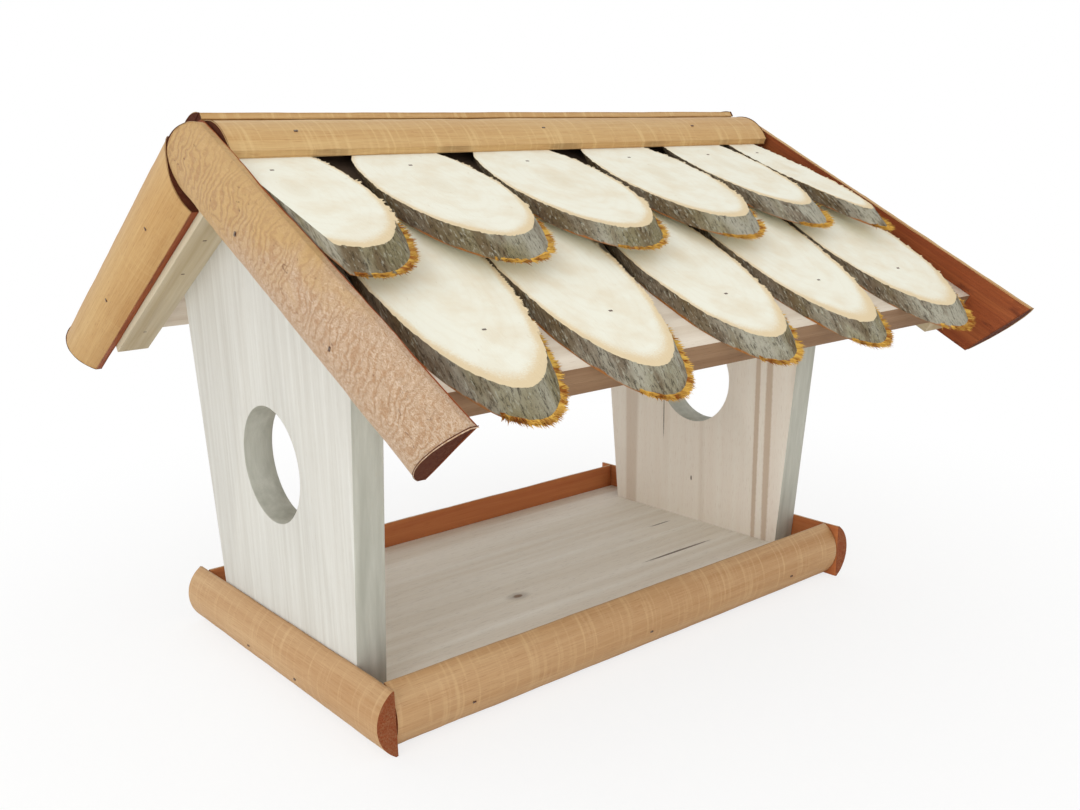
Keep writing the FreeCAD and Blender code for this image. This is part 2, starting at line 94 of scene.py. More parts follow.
def paintFaces(choose):
    # gives each face of the mesh in edit mode the material slot that choose returns, if any
    mesh = bpy.context.edit_object.data
    build = bmesh.from_edit_mesh(mesh)
    for face in build.faces:
        materialSlot = choose(face)
        if materialSlot is not None:
            face.material_index = materialSlot
    bmesh.update_edit_mesh(mesh)


def cutAway(point, normal):
    # removes what lies on the normal's side of a plane and closes the cut
    pickAll()
    bpy.ops.mesh.bisect(plane_co=point, plane_no=normal, clear_outer=True, use_fill=True, threshold=touching)


def applyAll(obj):
    only(obj)
    for modifier in list(obj.modifiers):
        bpy.ops.object.modifier_apply(modifier=modifier.name)


def keepPlace(obj, name, shift=(0, 0, 0), turn=None):
    # stores where each point is now, so that the wood's figure follows the piece
    mesh = obj.data
    store = mesh.attributes.new(name, "FLOAT_VECTOR", "POINT")
    for vert, value in zip(mesh.vertices, store.data):
        place = vert.co if turn is None else turn @ vert.co
        value.vector = place + Vector(shift)


def randomShift(rng):
    # moves the figure, so that no two pieces are cut from the same wood
    return [rng.uniform(0.5, 3) for _ in range(3)]


def setDown(obj, matrix):
    only(obj)
    obj.matrix_world = matrix
    bpy.ops.object.transform_apply(location=True, rotation=True, scale=True)


def axesMatrix(origin, xAxis, yAxis):
    x = Vector(xAxis).normalized()
    y = Vector(yAxis).normalized()
    z = x.cross(y)
    return Matrix.Translation(origin) @ Matrix((x, y, z)).transposed().to_4x4()


def wobble(obj, name, strength, size, depth=2, group=None, direction="NORMAL", middle=0.5):
    # gentle unevenness from a clouds texture, inwards only where the middle is 1
    texture = bpy.data.textures.new(f"{obj.name}_{name}", "CLOUDS")
    texture.noise_scale = size
    texture.noise_depth = depth
    modifier = obj.modifiers.new(name, "DISPLACE")
    modifier.texture = texture
    modifier.strength = strength
    modifier.mid_level = middle
    modifier.direction = direction
    if group:
        modifier.vertex_group = group


def softEdges(obj, width, segments=2, angle=35):
    bevel = obj.modifiers.new("softEdges", "BEVEL")
    bevel.width = width
    bevel.segments = segments
    bevel.limit_method = "ANGLE"
    bevel.angle_limit = math.radians(angle)


def finishPiece(obj, node, smoothAngle=35):
    only(obj)
    bpy.ops.object.shade_smooth_by_angle(angle=math.radians(smoothAngle))
    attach(obj, "root")
    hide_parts(node)


# node tools


def put(tree, kind, inputs=None, **settings):
    node = tree.nodes.new(kind)
    for name, value in settings.items():
        setattr(node, name, value)
    for key, value in (inputs or {}).items():
        if isinstance(value, bpy.types.NodeSocket):
            tree.links.new(value, node.inputs[key])
        else:
            node.inputs[key].default_value = value
    return node


def noise(tree, vector, scale, detail=4.0, roughness=0.55, distortion=0.0):
    inputs = {"Vector": vector, "Scale": scale, "Detail": detail, "Roughness": roughness,
              "Distortion": distortion}
    return put(tree, "ShaderNodeTexNoise", inputs).outputs["Fac"]


def stretch(tree, vector, scale, location=(0, 0, 0)):
    return put(tree, "ShaderNodeMapping", {"Vector": vector, "Scale": scale, "Location": location}).outputs[0]


def span(tree, value, low, high, outLow=0.0, outHigh=1.0, smooth=False):
    inputs = {"Value": value, "From Min": low, "From Max": high, "To Min": outLow, "To Max": outHigh}
    kind = "SMOOTHSTEP" if smooth else "LINEAR"
    return put(tree, "ShaderNodeMapRange", inputs, interpolation_type=kind).outputs[0]


def calc(tree, operation, a, b=0.0):
    return put(tree, "ShaderNodeMath", {0: a, 1: b}, operation=operation).outputs[0]


def vectorCalc(tree, operation, a, b=(0, 0, 0)):
    node = put(tree, "ShaderNodeVectorMath", {0: a, 1: b}, operation=operation)
    return node.outputs["Value" if operation == "LENGTH" else "Vector"]


def parts(tree, vector):
    return put(tree, "ShaderNodeSeparateXYZ", {0: vector}).outputs


def mixColour(tree, factor, a, b):
    return put(tree, "ShaderNodeMix", {0: factor, 6: a, 7: b}, data_type="RGBA").outputs[2]


def tint(tree, base, mask, share, colour):
    # lays a share of a colour over the base where the mask is high
    return mixColour(tree, calc(tree, "MULTIPLY", mask, share), base, colour)


def swing(tree, value, amount):
    # turns noise of 0 to 1 into a swing to both sides
    return calc(tree, "MULTIPLY", calc(tree, "SUBTRACT", value, 0.5), amount)


def newGroup(name, inputs, outputs):
    group = bpy.data.node_groups.new(name, "ShaderNodeTree")
    kinds = {"value": "NodeSocketFloat", "vector": "NodeSocketVector"}
    for label, kind, default in inputs:
        socket = group.interface.new_socket(label, in_out="INPUT", socket_type=kinds[kind])
        if default is not None:
            socket.default_value = default
    for label in outputs:
        group.interface.new_socket(label, in_out="OUTPUT", socket_type=kinds["value"])
    return group, group.nodes.new("NodeGroupInput").outputs, group.nodes.new("NodeGroupOutput").inputs


def useGroup(tree, group, inputs):
    return put(tree, "ShaderNodeGroup", inputs, node_tree=group).outputs


figure = dict(
    wave=(9, 30, 30), band=(3.2, 95, 95), fibre=(28, 1500, 1500), pore=(160, 2300, 2300),
    fibreDepth=0.7, poreDepth=0.3, knotRings=14.0, knotRoughness=0.35, knotNoise=400.0,
)


def grainGroup():
    # wood figure along X: broad bands, fine fibres and short pores
    group, start, end = newGroup("woodGrain", [
        ("Place", "vector", None), ("Band Scale", "value", 1.0), ("Fibre Scale", "value", 1.0),
        ("Waviness", "value", 0.3),
    ], ["Band", "Fibre", "Pores", "Height"])
    place = start["Place"]
    wave = noise(group, stretch(group, place, figure["wave"]), 1.0, 2.0)
    bend = swing(group, wave, start["Waviness"])
    shifted = put(group, "ShaderNodeCombineXYZ", {0: 0.0, 1: bend, 2: bend}).outputs[0]
    bandPlace = vectorCalc(group, "ADD", stretch(group, place, figure["band"]), shifted)
    band = noise(group, bandPlace, start["Band Scale"], 3.0, 0.6)
    fibre = noise(group, stretch(group, place, figure["fibre"]), start["Fibre Scale"], 3.0, 0.65)
    pores = noise(group, stretch(group, place, figure["pore"]), start["Fibre Scale"], 2.0, 0.5)
    group.links.new(span(group, band, 0.3, 0.7), end["Band"])
    group.links.new(span(group, fibre, 0.28, 0.72), end["Fibre"])
    group.links.new(span(group, pores, 0.6, 0.72), end["Pores"])
    ridges = calc(group, "MULTIPLY", fibre, figure["fibreDepth"])
    height = calc(group, "SUBTRACT", ridges, calc(group, "MULTIPLY", pores, figure["poreDepth"]))
    group.links.new(height, end["Height"])
    return group


def knotGroup():
    # an oval knot with rings at a place on the wood
    group, start, end = newGroup("knot", [
        ("Place", "vector", None), ("Centre", "vector", None), ("Size", "vector", (0.006, 0.004, 0.05)),
    ], ["Core", "Halo", "Rings"])
    off = vectorCalc(group, "SUBTRACT", start["Place"], start["Centre"])
    far = vectorCalc(group, "LENGTH", vectorCalc(group, "DIVIDE", off, start["Size"]))
    unevenness = calc(group, "MULTIPLY", noise(group, off, figure["knotNoise"], 2.0), figure["knotRoughness"])
    rough = calc(group, "ADD", far, unevenness)
    group.links.new(span(group, rough, 0.85, 1.25, 1.0, 0.0), end["Core"])
    group.links.new(span(group, rough, 1.0, 3.2, 1.0, 0.0, smooth=True), end["Halo"])
    rings = calc(group, "SINE", calc(group, "MULTIPLY", rough, figure["knotRings"]))
    group.links.new(span(group, rings, -1.0, 1.0), end["Rings"])
    return group


woodGrain = grainGroup()
knot = knotGroup()


def newMaterial(name, roughness=0.6, specular=0.3):
    material = bpy.data.materials.new(name)
    material.use_nodes = True
    tree = material.node_tree
    shader = tree.nodes["Principled BSDF"]
    shader.inputs["Roughness"].default_value = roughness
    shader.inputs["Specular IOR Level"].default_value = specular
    return material, tree, shader


def placeOf(tree, name):
    return put(tree, "ShaderNodeAttribute", attribute_name=name, attribute_type="GEOMETRY").outputs["Vector"]


def bumpInto(tree, shader, height, strength, distance):
    bump = put(tree, "ShaderNodeBump", {"Height": height, "Strength": strength, "Distance": distance})
    link(tree, bump.outputs[0], shader, "Normal")


def link(tree, output, shader, name):
    tree.links.new(output, shader.inputs[name])


# finishes

stain = dict(
    honeyLight=tone(213, 182, 128), honeyDeep=tone(190, 146, 88), honeyBrown=tone(156, 106, 56),
    railLight=tone(206, 172, 128), railDeep=tone(180, 138, 92), railBrown=tone(146, 98, 56),
    bargeLight=tone(208, 174, 116), bargeDeep=tone(184, 140, 80), bargeBrown=tone(140, 88, 46),
    burrLight=tone(209, 182, 154), burrGold=tone(203, 166, 112), burrDeep=tone(172, 128, 86),
    burrPore=tone(112, 58, 36), burrPale=tone(232, 212, 190),
    redLight=tone(172, 96, 50), redDeep=tone(138, 62, 28), redDark=tone(82, 34, 18),
    railRedLight=tone(204, 132, 80), railRedDeep=tone(180, 104, 60),
    endBrown=tone(100, 58, 38), endTan=tone(158, 106, 72),
)
bareWood = dict(
    wallLight=tone(217, 216, 209), wallDeep=tone(199, 196, 187), wallMark=tone(180, 170, 152),
    # the inner wall tones are raised above the outer ones as painted light, for the dimmer room under the roof
    innerPaintedLight=tone(246, 240, 228), innerPaintedDeep=tone(242, 233, 220), innerStreak=tone(178, 146, 112),
    # the crack, knot and deck streak tones also serve as painted shade on the deck
    floorLight=tone(252, 250, 243), floorDeep=tone(232, 225, 212), crackAndShadeDark=tone(84, 62, 44),
    knotAndShadeBrown=tone(120, 88, 62),
    deckLight=tone(234, 224, 208), deckDeep=tone(208, 192, 170), deckStreakAndShade=tone(160, 130, 100),
    endLight=tone(200, 200, 189), endDeep=tone(168, 168, 156),
    battenLight=tone(206, 194, 168), battenDeep=tone(172, 152, 116),
)
logWood = dict(
    face=tone(238, 236, 220), faceWarm=tone(232, 224, 202), heart=tone(216, 200, 168),
    rim=tone(224, 203, 164), fleck=tone(192, 172, 138),
    barkGrey=tone(190, 185, 166), barkGreen=tone(152, 142, 108), barkBrown=tone(108, 84, 58),
    barkDark=tone(48, 38, 28), lichen=tone(198, 196, 176), innerBark=tone(176, 108, 46),
    fibre=tone(222, 180, 86), fibreDeep=tone(150, 88, 34),
)
nailSteel = dict(steel=tone(128, 120, 108), spots=900.0, metallic=0.4)

honeyFigure = dict(
    waviness=0.5, bandScale=0.8, fibreShare=0.35, poreShare=0.4, patches=(14, 40, 40), patchShare=0.3,
    ripples=(420, 26, 26), relief=0.0004,
)


def honeyMaterial(name, light, deep, brown, cross=0.5):
    # stained half-round: long fibres, faint ripples across from the planer
    material, tree, shader = newMaterial(name, 0.52, 0.32)
    place = placeOf(tree, "grain")
    grain = useGroup(tree, woodGrain, {
        "Place": place, "Band Scale": honeyFigure["bandScale"], "Waviness": honeyFigure["waviness"]})
    base = mixColour(tree, grain["Band"], light, deep)
    base = tint(tree, base, grain["Fibre"], honeyFigure["fibreShare"], brown)
    patches = span(tree, noise(tree, stretch(tree, place, honeyFigure["patches"]), 1.0, 2.0), 0.45, 0.75)
    base = tint(tree, base, patches, honeyFigure["patchShare"], deep)
    ripple = noise(tree, stretch(tree, place, honeyFigure["ripples"]), 1.0, 2.0)
    base = tint(tree, base, span(tree, ripple, 0.52, 0.7), cross, light)
    base = tint(tree, base, grain["Pores"], honeyFigure["poreShare"], brown)
    link(tree, base, shader, "Base Color")
    link(tree, span(tree, grain["Fibre"], 0, 1, 0.44, 0.62), shader, "Roughness")
    bumpInto(tree, shader, grain["Height"], 0.35, honeyFigure["relief"])
    return material


redFigure = dict(
    waviness=0.6, bandScale=1.1, fibreShare=0.45, spots=(60, 220, 220), spotShare=0.5, relief=0.0005,
)


def redMaterial(name, light, deep, dark):
    # sawn flat faces that soaked up the stain
    material, tree, shader = newMaterial(name, 0.6, 0.25)
    place = placeOf(tree, "grain")
    grain = useGroup(tree, woodGrain, {
        "Place": place, "Band Scale": redFigure["bandScale"], "Waviness": redFigure["waviness"]})
    base = mixColour(tree, grain["Band"], light, deep)
    base = tint(tree, base, grain["Fibre"], redFigure["fibreShare"], dark)
    spots = span(tree, noise(tree, stretch(tree, place, redFigure["spots"]), 1.0, 3.0), 0.6, 0.72)
    base = tint(tree, base, spots, redFigure["spotShare"], dark)
    link(tree, base, shader, "Base Color")
    link(tree, span(tree, grain["Fibre"], 0, 1, 0.5, 0.7), shader, "Roughness")
    bumpInto(tree, shader, grain["Height"], 0.5, redFigure["relief"])
    return material


endFigure = dict(fibres=(300, 900, 900), rings=(20, 240, 160), ringShare=0.4, relief=0.0012)


def endGrainMaterial(name, light, dark):
    # rough sawn ends
    material, tree, shader = newMaterial(name, 0.8, 0.15)
    place = placeOf(tree, "grain")
    rough = noise(tree, stretch(tree, place, endFigure["fibres"]), 1.0, 5.0, 0.7)
    rings = noise(tree, stretch(tree, place, endFigure["rings"]), 1.0, 2.0)
    base = mixColour(tree, span(tree, rough, 0.35, 0.65), dark, light)
    base = tint(tree, base, span(tree, rings, 0.45, 0.6), endFigure["ringShare"], dark)
    link(tree, base, shader, "Base Color")
    bumpInto(tree, shader, rough, 0.9, endFigure["relief"])
    return material


burrFigure = dict(
    middle=0.024, arcBend=26.0, arcCloseness=1250.0, arcWaver=0.03, arcNoise=55.0, arcShare=0.6, arcRelief=0.5,
    swirl=(24, 60, 60), pinkWander=0.12, pinkSlant=2.2, pinkFrom=0.03, pinkTo=0.11,
    strings=(380, 900, 900), stringRelief=0.8, pores=(190, 420, 420), poreShare=0.75, relief=0.001,
)


def burrMaterial(name):
    # the front barge's tan face: golden with flame figure above, pinkish and stringy below
    material, tree, shader = newMaterial(name, 0.55, 0.3)
    place = placeOf(tree, "grain")
    strip = parts(tree, placeOf(tree, "strip"))
    swirl = noise(tree, stretch(tree, place, burrFigure["swirl"]), 1.0, 2.0, 0.5, 1.2)
    # flames: arcs across the strip, bent by its own unevenness
    offMiddle = calc(tree, "SUBTRACT", strip["Y"], burrFigure["middle"])
    bow = calc(tree, "MULTIPLY", calc(tree, "MULTIPLY", offMiddle, offMiddle), burrFigure["arcBend"])
    waver = swing(tree, noise(tree, place, burrFigure["arcNoise"], 3.0, 0.6), burrFigure["arcWaver"])
    bent = calc(tree, "ADD", calc(tree, "ADD", strip["X"], bow), waver)
    flame = calc(tree, "SINE", calc(tree, "MULTIPLY", bent, burrFigure["arcCloseness"]))
    middle = span(tree, calc(tree, "ABSOLUTE", offMiddle), 0.006, 0.02, 1.0, 0.25)
    flame = calc(tree, "MULTIPLY", span(tree, flame, -0.2, 1.0), middle)
    string = noise(tree, stretch(tree, place, burrFigure["strings"]), 1.0, 4.0, 0.75, 2.5)
    low = calc(tree, "ADD", strip["X"], swing(tree, swirl, burrFigure["pinkWander"]))
    low = calc(tree, "SUBTRACT", low, calc(tree, "MULTIPLY", strip["Y"], burrFigure["pinkSlant"]))
    pink = span(tree, low, burrFigure["pinkFrom"], burrFigure["pinkTo"], smooth=True)
    base = mixColour(tree, pink, stain["burrGold"], stain["burrLight"])
    base = tint(tree, base, flame, burrFigure["arcShare"], stain["burrDeep"])
    fleckShare = span(tree, pink, 0, 1, 0.25, 0.85)
    base = tint(tree, base, span(tree, string, 0.45, 0.62), fleckShare, stain["burrDeep"])
    paleShare = span(tree, pink, 0, 1, 0.1, 0.6)
    base = tint(tree, base, span(tree, string, 0.46, 0.34), paleShare, stain["burrPale"])
    pores = noise(tree, stretch(tree, place, burrFigure["pores"]), 1.0, 3.0, 0.6, 1.0)
    pores = calc(tree, "MULTIPLY", span(tree, pores, 0.67, 0.73), middle)
    base = tint(tree, base, pores, burrFigure["poreShare"], stain["burrPore"])
    link(tree, base, shader, "Base Color")
    link(tree, span(tree, string, 0.3, 0.7, 0.42, 0.68), shader, "Roughness")
    strings = calc(tree, "MULTIPLY", string, burrFigure["stringRelief"])
    relief = calc(tree, "SUBTRACT", strings, calc(tree, "MULTIPLY", flame, burrFigure["arcRelief"]))
    bumpInto(tree, shader, calc(tree, "SUBTRACT", relief, pores), 0.8, burrFigure["relief"])
    return material


boardFigure = dict(
    waviness=0.25, fibreShare=0.3, poreShare=0.25, streaks=(0.9, 42, 42), stripeShare=0.55, haloShare=0.35,
    knotShare=0.8, crackShare=0.85, crackDepth=3.0, shadeShare=0.92, shadeFade=0.03, relief=0.0005,
)


def boardMaterial(name, light, deep, mark, bandScale=1.0, streak=0.0, knots=(), cracks=(), stripes=(),
                  shadeBelow=None):
    # bare planed board with soft grain bands and, where asked, painted shade on one side of a line across it; knots,
    # cracks and stripes are (centre, size)
    material, tree, shader = newMaterial(name, 0.72, 0.2)
    place = placeOf(tree, "grain")
    grain = useGroup(tree, woodGrain, {
        "Place": place, "Band Scale": bandScale, "Waviness": boardFigure["waviness"]})
    base = mixColour(tree, grain["Band"], light, deep)
    base = tint(tree, base, grain["Fibre"], boardFigure["fibreShare"], deep)
    base = tint(tree, base, grain["Pores"], boardFigure["poreShare"], mark)
    if streak:
        band = noise(tree, stretch(tree, place, boardFigure["streaks"]), 1.0, 1.0)
        base = tint(tree, base, span(tree, band, 0.58, 0.66), streak, mark)
    height = grain["Height"]
    if shadeBelow is not None:
        # painted shade: on one side of the line across the board, its colour turns to the dark crack colour
        across = parts(tree, place)["Y"]
        fade = span(tree, across, shadeBelow, shadeBelow - boardFigure["shadeFade"], 0.0,
                    boardFigure["shadeShare"], smooth=True)
        base = mixColour(tree, fade, base, bareWood["crackAndShadeDark"])
    for centre, extent in stripes:
        stripe = useGroup(tree, knot, {"Place": place, "Centre": centre, "Size": extent})
        base = tint(tree, base, stripe["Core"], boardFigure["stripeShare"], mark)
    for centre, extent in knots:
        spot = useGroup(tree, knot, {"Place": place, "Centre": centre, "Size": extent})
        base = tint(tree, base, spot["Halo"], boardFigure["haloShare"], mark)
        base = tint(tree, base, spot["Core"], boardFigure["knotShare"], bareWood["knotAndShadeBrown"])
    for centre, extent in cracks:
        split = useGroup(tree, knot, {"Place": place, "Centre": centre, "Size": extent})
        base = tint(tree, base, split["Core"], boardFigure["crackShare"], bareWood["crackAndShadeDark"])
        groove = calc(tree, "MULTIPLY", split["Core"], boardFigure["crackDepth"])
        height = calc(tree, "SUBTRACT", height, groove)
    link(tree, base, shader, "Base Color")
    link(tree, span(tree, grain["Fibre"], 0, 1, 0.64, 0.8), shader, "Roughness")
    bumpInto(tree, shader, height, 0.3, boardFigure["relief"])
    return material


faceFigure = dict(
    drift=0.12, driftNoise=38.0, rings=52.0, ringShare=0.06, blotches=60.0, heartSize=0.3, heartShare=0.3,
    rimTop=0.955, rimTip=0.885, fray=0.09, frayNoise=1300.0, rimShare=0.95,
    scratches=(520, 190, 300), scratchShare=0.3, saw=(900, 160, 160), fuzz=2600.0, fuzzShare=0.5, relief=0.0006,
)


def sliceFaceMaterial():
    # pale fresh-sawn wood with a warm sapwood rim and a faint heart
    material, tree, shader = newMaterial("sliceFace", 0.8, 0.15)
    oval = placeOf(tree, "oval")
    place = placeOf(tree, "grain")
    radius = vectorCalc(tree, "LENGTH", vectorCalc(tree, "MULTIPLY", oval, (1, 1, 0)))
    drift = swing(tree, noise(tree, place, faceFigure["driftNoise"], 2.0), faceFigure["drift"])
    radius = calc(tree, "ADD", radius, drift)
    rings = calc(tree, "SINE", calc(tree, "MULTIPLY", radius, faceFigure["rings"]))
    blotch = noise(tree, place, faceFigure["blotches"], 3.0)
    base = mixColour(tree, span(tree, blotch, 0.42, 0.7), logWood["face"], logWood["faceWarm"])
    base = tint(tree, base, span(tree, rings, 0.3, 1.0), faceFigure["ringShare"], logWood["heart"])
    heart = span(tree, radius, 0.03, faceFigure["heartSize"], faceFigure["heartShare"], 0.0, smooth=True)
    base = mixColour(tree, heart, base, logWood["heart"])
    # the rim is widest at the lower tip, and its inner edge is frayed
    tip = span(tree, parts(tree, oval)["Y"], 0.2, -0.9, faceFigure["rimTop"], faceFigure["rimTip"])
    fray = swing(tree, noise(tree, place, faceFigure["frayNoise"], 2.0), faceFigure["fray"])
    rim = span(tree, calc(tree, "ADD", calc(tree, "SUBTRACT", radius, tip), fray), -0.03, 0.07, smooth=True)
    base = tint(tree, base, rim, faceFigure["rimShare"], logWood["rim"])
    scratch = noise(tree, stretch(tree, place, faceFigure["scratches"]), 1.0, 3.0, 0.6)
    base = tint(tree, base, span(tree, scratch, 0.68, 0.76), faceFigure["scratchShare"], logWood["fleck"])
    link(tree, base, shader, "Base Color")
    saw = noise(tree, stretch(tree, place, faceFigure["saw"]), 1.0, 3.0)
    fuzz = calc(tree, "MULTIPLY", noise(tree, place, faceFigure["fuzz"], 2.0), faceFigure["fuzzShare"])
    bumpInto(tree, shader, calc(tree, "ADD", saw, fuzz), 0.3, faceFigure["relief"])
    return material


barkFigure = dict(
    large=70.0, tint=34.0, tintShift=(3, 1, 2), fine=(900, 330, 500), brownShare=0.7, leftWander=0.9,
    leftShare=0.75, fineShare=0.75, specks=620.0, speckShare=0.65, lowWander=0.5, innerShare=0.85,
    shadeShare=0.8, relief=0.0018,
)


def barkMaterial():
    # mottled grey bark, browner on the left side, with an orange inner layer along its lower edge
    material, tree, shader = newMaterial("bark", 0.85, 0.15)
    place = placeOf(tree, "grain")
    oval = parts(tree, placeOf(tree, "oval"))
    large = noise(tree, place, barkFigure["large"], 3.0, 0.6)
    tints = noise(tree, stretch(tree, place, (1, 1, 1), barkFigure["tintShift"]), barkFigure["tint"], 2.0)
    fine = noise(tree, stretch(tree, place, barkFigure["fine"]), 1.0, 5.0, 0.8)
    base = mixColour(tree, span(tree, tints, 0.42, 0.6), logWood["barkGrey"], logWood["barkGreen"])
    base = tint(tree, base, span(tree, large, 0.52, 0.64), barkFigure["brownShare"], logWood["barkBrown"])
    leftward = calc(tree, "ADD", oval["X"], swing(tree, large, barkFigure["leftWander"]))
    leftward = span(tree, leftward, -0.45, -0.85, 0.0, barkFigure["leftShare"])
    base = mixColour(tree, leftward, base, logWood["barkBrown"])
    base = tint(tree, base, span(tree, fine, 0.5, 0.62), barkFigure["fineShare"], logWood["barkDark"])
    specks = span(tree, noise(tree, place, barkFigure["specks"], 3.0, 0.65), 0.57, 0.66)
    base = tint(tree, base, specks, barkFigure["speckShare"], logWood["lichen"])
    # the inner layer shows along the lower edge near the tip, and further up it lies in shade
    low = calc(tree, "ADD", oval["Z"], swing(tree, large, barkFigure["lowWander"]))
    inner = calc(tree, "MULTIPLY", span(tree, low, -0.9, -0.97), span(tree, oval["Y"], 0.3, -0.2))
    base = tint(tree, base, inner, barkFigure["innerShare"], logWood["innerBark"])
    shade = calc(tree, "MULTIPLY", span(tree, low, -0.7, -0.9), span(tree, oval["Y"], -0.2, 0.3))
    base = tint(tree, base, shade, barkFigure["shadeShare"], logWood["barkDark"])
    link(tree, base, shader, "Base Color")
    bumpInto(tree, shader, calc(tree, "ADD", fine, large), 1.0, barkFigure["relief"])
    return material


def fibreMaterial():
    # torn fibres of inner bark
    material, tree, shader = newMaterial("barkFibre", 0.8, 0.15)
    mixer = noise(tree, placeOf(tree, "grain"), 300.0, 3.0, 0.7)
    base = mixColour(tree, span(tree, mixer, 0.44, 0.62), logWood["fibre"], logWood["fibreDeep"])
    link(tree, base, shader, "Base Color")
    bumpInto(tree, shader, mixer, 0.8, 0.001)
    return material


honey = honeyMaterial("ridgeStain", stain["honeyLight"], stain["honeyDeep"], stain["honeyBrown"], cross=0.6)
railHoney = honeyMaterial("railStain", stain["railLight"], stain["railDeep"], stain["railBrown"])
bargeHoney = honeyMaterial("bargeStain", stain["bargeLight"], stain["bargeDeep"], stain["bargeBrown"], cross=0.15)
red = redMaterial("redStain", stain["redLight"], stain["redDeep"], stain["redDark"])
railRed = redMaterial("railRedStain", stain["railRedLight"], stain["railRedDeep"], stain["redLight"])
endTan = endGrainMaterial("railEnd", stain["endTan"], stain["redDeep"])
endBrown = endGrainMaterial("stainedEnd", stain["endBrown"], stain["redDark"])
burr = burrMaterial("burrStain")
sliceFace = sliceFaceMaterial()
bark = barkMaterial()
barkFibre = fibreMaterial()
wallWood = boardMaterial("wallWood", bareWood["wallLight"], bareWood["wallDeep"], bareWood["wallMark"], 2.6)
# inner faces: painted brighter than the outer face as painted light under the roof, with real streaks and cracks
wallInnerBrightened = boardMaterial(
    "wallInnerBrightened", bareWood["innerPaintedLight"], bareWood["innerPaintedDeep"], bareWood["innerStreak"], 1.8, streak=0.35,
    cracks=[((0.093, 0.028, -0.1595), (0.018, 0.0005, 0.02)), ((0.05, 0, -0.1595), (0.002, 0.0008, 0.02))],
    stripes=[((0.1, -0.0575, -0.1595), (0.16, 0.0022, 0.02)), ((0.1, -0.067, -0.1595), (0.16, 0.003, 0.02))],
)
wallEdge = boardMaterial("wallEdge", bareWood["endLight"], bareWood["endDeep"], bareWood["wallMark"], 1.3)
floorWood = boardMaterial(
    "floorWood", bareWood["floorLight"], bareWood["floorDeep"], bareWood["crackAndShadeDark"],
    knots=[((-0.0323, -0.03, 0.0185), (0.0038, 0.0024, 0.03))],
    cracks=[((0.101, -0.0417, 0.0185), (0.035, 0.0011, 0.02)), ((0.134, 0.0065, 0.0185), (0.011, 0.0008, 0.02))],
)
# the deck is painted dark near the ridge as painted shade, under the upper course
deckWood = boardMaterial("deckWood", bareWood["deckLight"], bareWood["deckDeep"], bareWood["deckStreakAndShade"],
                         shadeBelow=0.001)
# the deck's eave edge is painted darker than its top, as painted shade for its shaded side
deckEdgeShade = boardMaterial("deckEdgeShade", bareWood["deckStreakAndShade"], bareWood["knotAndShadeBrown"], bareWood["crackAndShadeDark"])
battenWood = boardMaterial("battenWood", bareWood["battenLight"], bareWood["battenDeep"], bareWood["wallMark"])
print("finishes ready")

# half-round pieces

trim = dict(
    tray=dict(width=0.0362, thickness=0.012, side=0.002),
    barge=dict(width=0.042, thickness=0.014, side=0.004),
    ridge=dict(width=0.0362, thickness=0.011, side=0.0035),
    roundSteps=128, alongStep=0.004, edgeSoftness=0.0006,
    unevenness=0.0006, unevenSize=0.03, dents=0.00022, dentSize=0.004,
)


def halfRound(name, shape, length, matrix, looks, cuts=(), seed=0, unevenness=trim["unevenness"]):
    # a strip with a flat back: X along it, Y across it, Z out of its round face
    width, thickness, side = shape["width"], shape["thickness"], shape["side"]
    rise = thickness - side
    radius = (width * width / 4 + rise * rise) / (rise * 2)
    bpy.ops.object.select_all(action="DESELECT")
    bpy.ops.mesh.primitive_circle_add(vertices=trim["roundSteps"], radius=radius, fill_type="NGON",
                                      location=(0, width / 2, thickness - radius), rotation=(0, math.pi / 2, 0))
    obj = bpy.context.object
    obj.name = name
    for material in looks:
        obj.data.materials.append(material)
    setDown(obj, obj.matrix_world.copy())
    editing(obj)
    pickAll()
    bpy.ops.mesh.bisect(plane_co=(0, 0, side), plane_no=(0, 0, -1), clear_outer=True, threshold=touching)
    pick("edges", lambda edge: all(abs(v.co.z - side) < close for v in edge.verts))
    bpy.ops.mesh.extrude_edges_move(TRANSFORM_OT_translate={"value": (0, 0, -side)})
    pick("faces", lambda face: True)
    bpy.ops.mesh.extrude_region_move(TRANSFORM_OT_translate={"value": (length, 0, 0)})
    faceOut()
    pick("edges", lambda edge: abs(edge.verts[0].co.x - edge.verts[1].co.x) > length / 2)
    bpy.ops.mesh.subdivide(number_cuts=max(2, round(length / trim["alongStep"])))
    inverse = matrix.inverted()
    for point, normal in cuts:
        cutAway(inverse @ Vector(point), (inverse.to_3x3() @ Vector(normal)).normalized())
    faceOut()

    def chooseLook(face):
        # looks are the round face, the back with one side, and the ends
        if abs(face.normal.x) > 0.6:
            return 2
        lowSide = face.normal.y < -0.95 and face.calc_center_median().z < side + close
        return 1 if face.normal.z < -0.5 or lowSide else None

    paintFaces(chooseLook)
    done()
    softEdges(obj, trim["edgeSoftness"])
    applyAll(obj)
    keepPlace(obj, "grain", randomShift(random.Random(seed)))
    keepPlace(obj, "strip")
    # only inwards, so that the strip stays inside its solid
    wobble(obj, "uneven", unevenness, trim["unevenSize"], middle=1.0)
    wobble(obj, "dents", trim["dents"], trim["dentSize"], 3, middle=1.0)
    applyAll(obj)
    setDown(obj, matrix)
    return obj


tray = dict(halfLength=0.1775, halfWidth=0.1024, reach=0.1144, firstSeed=11)


